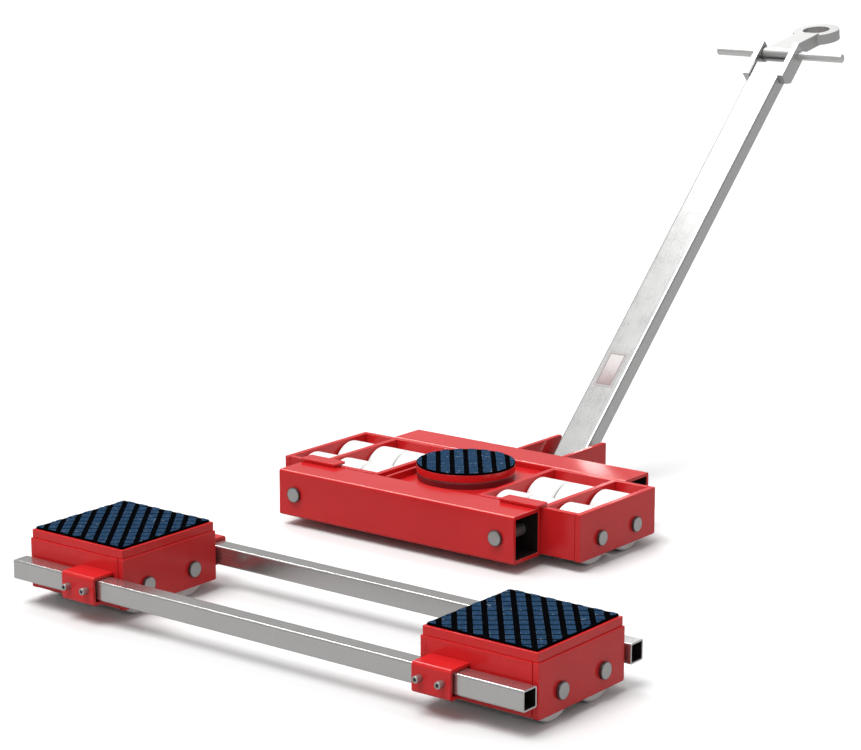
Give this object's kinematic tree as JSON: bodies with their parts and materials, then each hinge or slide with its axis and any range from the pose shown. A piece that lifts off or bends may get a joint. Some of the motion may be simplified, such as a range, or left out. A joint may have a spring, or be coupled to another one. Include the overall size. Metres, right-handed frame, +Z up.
{
  "type": "machine skate",
  "caption": "Machine skate set: steerable front skate with turntable pad, drawbar and towing eye, and padded rear skates clamped on square tie bars.",
  "frame": {"origin": "middle of the set's footprint, on the floor", "axes": "+Z up; +Y from the rear pair towards the front skate's towing eye, along the travel direction; +X along the tie bars and beams"},
  "size_m": [0.949, 1.85, 0.7407],
  "materials": {
    "red_paint": "glossy red paint",
    "zinc_steel": "bright zinc-plated steel",
    "drawbar_steel": "light satin zinc-plated steel",
    "axle_steel": "turned plain steel",
    "bearing_steel": "ground bearing steel",
    "nylon": "white nylon, satin",
    "pad_rubber": "blue-black ribbed rubber"
  },
  "bodies": {
    "tie_bars": {"near_tie_bar": "zinc_steel", "far_tie_bar": "zinc_steel"},
    "left_skate": {"left_skate_body": "red_paint", "left_skate_top_plate": "red_paint", "left_skate_pad": "pad_rubber", "left_skate_clamps": "red_paint", "left_skate_axles": "axle_steel", "left_skate_bearings": "bearing_steel"},
    "left_near_screws": {"left_near_clamp_screws": "axle_steel"},
    "left_far_screws": {"left_far_clamp_screws": "axle_steel"},
    "left_skate_roller_1": {"left_skate_roller_1": "nylon"},
    "left_skate_roller_2": {"left_skate_roller_2": "nylon"},
    "left_skate_roller_3": {"left_skate_roller_3": "nylon"},
    "left_skate_roller_4": {"left_skate_roller_4": "nylon"},
    "right_skate": {"right_skate_body": "red_paint", "right_skate_top_plate": "red_paint", "right_skate_pad": "pad_rubber", "right_skate_clamps": "red_paint", "right_skate_axles": "axle_steel", "right_skate_bearings": "bearing_steel"},
    "right_near_screws": {"right_near_clamp_screws": "axle_steel"},
    "right_far_screws": {"right_far_clamp_screws": "axle_steel"},
    "right_skate_roller_1": {"right_skate_roller_1": "nylon"},
    "right_skate_roller_2": {"right_skate_roller_2": "nylon"},
    "right_skate_roller_3": {"right_skate_roller_3": "nylon"},
    "right_skate_roller_4": {"right_skate_roller_4": "nylon"},
    "front_chassis": {"front_beam": "red_paint", "rear_beam": "red_paint", "turntable_bed": "red_paint", "stop_tabs": "red_paint", "pivot_pins": "axle_steel", "drawbar_fork": "red_paint", "drawbar_pin": "axle_steel", "turntable_base_ring": "red_paint", "turntable_race": "bearing_steel"},
    "turntable": {"turntable_disc": "red_paint", "turntable_pad": "pad_rubber"},
    "left_cassette": {"left_cassette_frame": "red_paint", "left_cassette_axles": "axle_steel", "left_cassette_bearings": "bearing_steel"},
    "left_cassette_roller_1": {"left_cassette_roller_1": "nylon"},
    "left_cassette_roller_2": {"left_cassette_roller_2": "nylon"},
    "left_cassette_roller_3": {"left_cassette_roller_3": "nylon"},
    "left_cassette_roller_4": {"left_cassette_roller_4": "nylon"},
    "left_cassette_roller_5": {"left_cassette_roller_5": "nylon"},
    "left_cassette_roller_6": {"left_cassette_roller_6": "nylon"},
    "right_cassette": {"right_cassette_frame": "red_paint", "right_cassette_axles": "axle_steel", "right_cassette_bearings": "bearing_steel"},
    "right_cassette_roller_1": {"right_cassette_roller_1": "nylon"},
    "right_cassette_roller_2": {"right_cassette_roller_2": "nylon"},
    "right_cassette_roller_3": {"right_cassette_roller_3": "nylon"},
    "right_cassette_roller_4": {"right_cassette_roller_4": "nylon"},
    "right_cassette_roller_5": {"right_cassette_roller_5": "nylon"},
    "right_cassette_roller_6": {"right_cassette_roller_6": "nylon"},
    "drawbar": {"drawbar_tube": "drawbar_steel", "drawbar_spacers": "axle_steel", "drawbar_head_plates": "drawbar_steel", "handle_rod": "drawbar_steel"},
    "eye": {"towing_eye": "drawbar_steel"}
  },
  "joints": [
    {"name": "left_skate_width", "type": "slide", "parent": "tie_bars", "child": "left_skate", "axis": [1, 0, 0], "range_m": [-0.1, 0.25]},
    {"name": "left_near_screws_back_off", "type": "slide", "parent": "left_skate", "child": "left_near_screws", "axis": [0, -1, 0], "range_m": [0, 0.004]},
    {"name": "left_far_screws_back_off", "type": "slide", "parent": "left_skate", "child": "left_far_screws", "axis": [0, 1, 0], "range_m": [0, 0.004]},
    {"name": "left_skate_roller_1_turn", "type": "hinge", "parent": "left_skate", "child": "left_skate_roller_1", "pos_m": [-0.31025, -0.82077, 0.045], "axis": [1, 0, 0], "continuous": true},
    {"name": "left_skate_roller_2_turn", "type": "hinge", "parent": "left_skate", "child": "left_skate_roller_2", "pos_m": [-0.39475, -0.82077, 0.045], "axis": [1, 0, 0], "continuous": true},
    {"name": "left_skate_roller_3_turn", "type": "hinge", "parent": "left_skate", "child": "left_skate_roller_3", "pos_m": [-0.31025, -0.72477, 0.045], "axis": [1, 0, 0], "continuous": true},
    {"name": "left_skate_roller_4_turn", "type": "hinge", "parent": "left_skate", "child": "left_skate_roller_4", "pos_m": [-0.39475, -0.72477, 0.045], "axis": [1, 0, 0], "continuous": true},
    {"name": "right_skate_width", "type": "slide", "parent": "tie_bars", "child": "right_skate", "axis": [1, 0, 0], "range_m": [-0.25, 0.1]},
    {"name": "right_near_screws_back_off", "type": "slide", "parent": "right_skate", "child": "right_near_screws", "axis": [0, -1, 0], "range_m": [0, 0.004]},
    {"name": "right_far_screws_back_off", "type": "slide", "parent": "right_skate", "child": "right_far_screws", "axis": [0, 1, 0], "range_m": [0, 0.004]},
    {"name": "right_skate_roller_1_turn", "type": "hinge", "parent": "right_skate", "child": "right_skate_roller_1", "pos_m": [0.41675, -0.82077, 0.045], "axis": [1, 0, 0], "continuous": true},
    {"name": "right_skate_roller_2_turn", "type": "hinge", "parent": "right_skate", "child": "right_skate_roller_2", "pos_m": [0.33225, -0.82077, 0.045], "axis": [1, 0, 0], "continuous": true},
    {"name": "right_skate_roller_3_turn", "type": "hinge", "parent": "right_skate", "child": "right_skate_roller_3", "pos_m": [0.41675, -0.72477, 0.045], "axis": [1, 0, 0], "continuous": true},
    {"name": "right_skate_roller_4_turn", "type": "hinge", "parent": "right_skate", "child": "right_skate_roller_4", "pos_m": [0.33225, -0.72477, 0.045], "axis": [1, 0, 0], "continuous": true},
    {"name": "front_skate_distance", "type": "slide", "parent": "tie_bars", "child": "front_chassis", "axis": [0, 1, 0], "range_m": [-0.25, 0.5]},
    {"name": "turntable_turn", "type": "hinge", "parent": "front_chassis", "child": "turntable", "pos_m": [-0.173, -0.17277, 0.095], "axis": [0, 0, 1], "continuous": true},
    {"name": "left_cassette_rock", "type": "hinge", "parent": "front_chassis", "child": "left_cassette", "pos_m": [-0.387, -0.17277, 0.055], "axis": [0, 1, 0], "range_deg": [-2, 2]},
    {"name": "left_cassette_roller_1_turn", "type": "hinge", "parent": "left_cassette", "child": "left_cassette_roller_1", "pos_m": [-0.43, -0.22077, 0.045], "axis": [1, 0, 0], "continuous": true},
    {"name": "left_cassette_roller_2_turn", "type": "hinge", "parent": "left_cassette", "child": "left_cassette_roller_2", "pos_m": [-0.36375, -0.22077, 0.045], "axis": [1, 0, 0], "continuous": true},
    {"name": "left_cassette_roller_3_turn", "type": "hinge", "parent": "left_cassette", "child": "left_cassette_roller_3", "pos_m": [-0.30925, -0.22077, 0.045], "axis": [1, 0, 0], "continuous": true},
    {"name": "left_cassette_roller_4_turn", "type": "hinge", "parent": "left_cassette", "child": "left_cassette_roller_4", "pos_m": [-0.43, -0.12477, 0.045], "axis": [1, 0, 0], "continuous": true},
    {"name": "left_cassette_roller_5_turn", "type": "hinge", "parent": "left_cassette", "child": "left_cassette_roller_5", "pos_m": [-0.36375, -0.12477, 0.045], "axis": [1, 0, 0], "continuous": true},
    {"name": "left_cassette_roller_6_turn", "type": "hinge", "parent": "left_cassette", "child": "left_cassette_roller_6", "pos_m": [-0.30925, -0.12477, 0.045], "axis": [1, 0, 0], "continuous": true},
    {"name": "right_cassette_rock", "type": "hinge", "parent": "front_chassis", "child": "right_cassette", "pos_m": [0.017, -0.17277, 0.055], "axis": [0, 1, 0], "range_deg": [-2, 2]},
    {"name": "right_cassette_roller_1_turn", "type": "hinge", "parent": "right_cassette", "child": "right_cassette_roller_1", "pos_m": [0.084, -0.22077, 0.045], "axis": [1, 0, 0], "continuous": true},
    {"name": "right_cassette_roller_2_turn", "type": "hinge", "parent": "right_cassette", "child": "right_cassette_roller_2", "pos_m": [0.01775, -0.22077, 0.045], "axis": [1, 0, 0], "continuous": true},
    {"name": "right_cassette_roller_3_turn", "type": "hinge", "parent": "right_cassette", "child": "right_cassette_roller_3", "pos_m": [-0.03675, -0.22077, 0.045], "axis": [1, 0, 0], "continuous": true},
    {"name": "right_cassette_roller_4_turn", "type": "hinge", "parent": "right_cassette", "child": "right_cassette_roller_4", "pos_m": [0.084, -0.12477, 0.045], "axis": [1, 0, 0], "continuous": true},
    {"name": "right_cassette_roller_5_turn", "type": "hinge", "parent": "right_cassette", "child": "right_cassette_roller_5", "pos_m": [0.01775, -0.12477, 0.045], "axis": [1, 0, 0], "continuous": true},
    {"name": "right_cassette_roller_6_turn", "type": "hinge", "parent": "right_cassette", "child": "right_cassette_roller_6", "pos_m": [-0.03675, -0.12477, 0.045], "axis": [1, 0, 0], "continuous": true},
    {"name": "drawbar_lift", "type": "hinge", "parent": "front_chassis", "child": "drawbar", "pos_m": [-0.1475, 0.08123, 0.054], "axis": [1, 0, 0], "range_deg": [-34, 46]},
    {"name": "towing_eye_swivel", "type": "hinge", "parent": "drawbar", "child": "eye", "pos_m": [-0.1475, 0.74662, 0.69656], "axis": [1, 0, 0], "range_deg": [-75, 60]}
  ]
}
